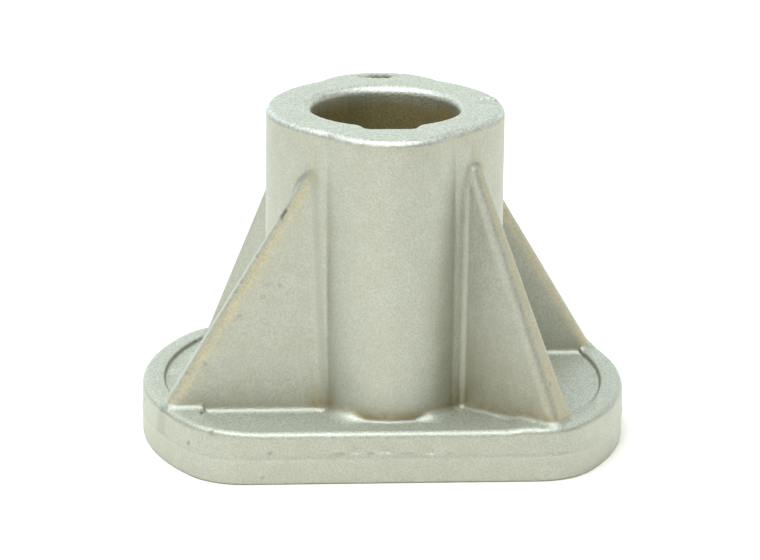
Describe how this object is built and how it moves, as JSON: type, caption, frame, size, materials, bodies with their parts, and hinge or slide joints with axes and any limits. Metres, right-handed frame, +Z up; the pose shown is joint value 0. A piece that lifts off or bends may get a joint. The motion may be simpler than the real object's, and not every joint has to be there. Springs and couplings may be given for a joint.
{
  "type": "mower blade adapter",
  "caption": "Die-cast flanged hub with a keyed crankshaft bore, rounded lobes and sloping gusset ribs on an oblong base that carries a mower blade.",
  "frame": {"origin": "centre of the flat underside of the base, on the bore axis", "axes": "+Z up along the bore towards the engine, +X along the two flats of the base, -Y towards the keyway"},
  "size_m": [0.073, 0.051, 0.0505],
  "materials": {
    "cast_metal": "as-cast, fine sandy satin, a little rubbed and stained in the corners"
  },
  "bodies": {
    "root": {"blade_adapter": "cast_metal"}
  },
  "joints": []
}
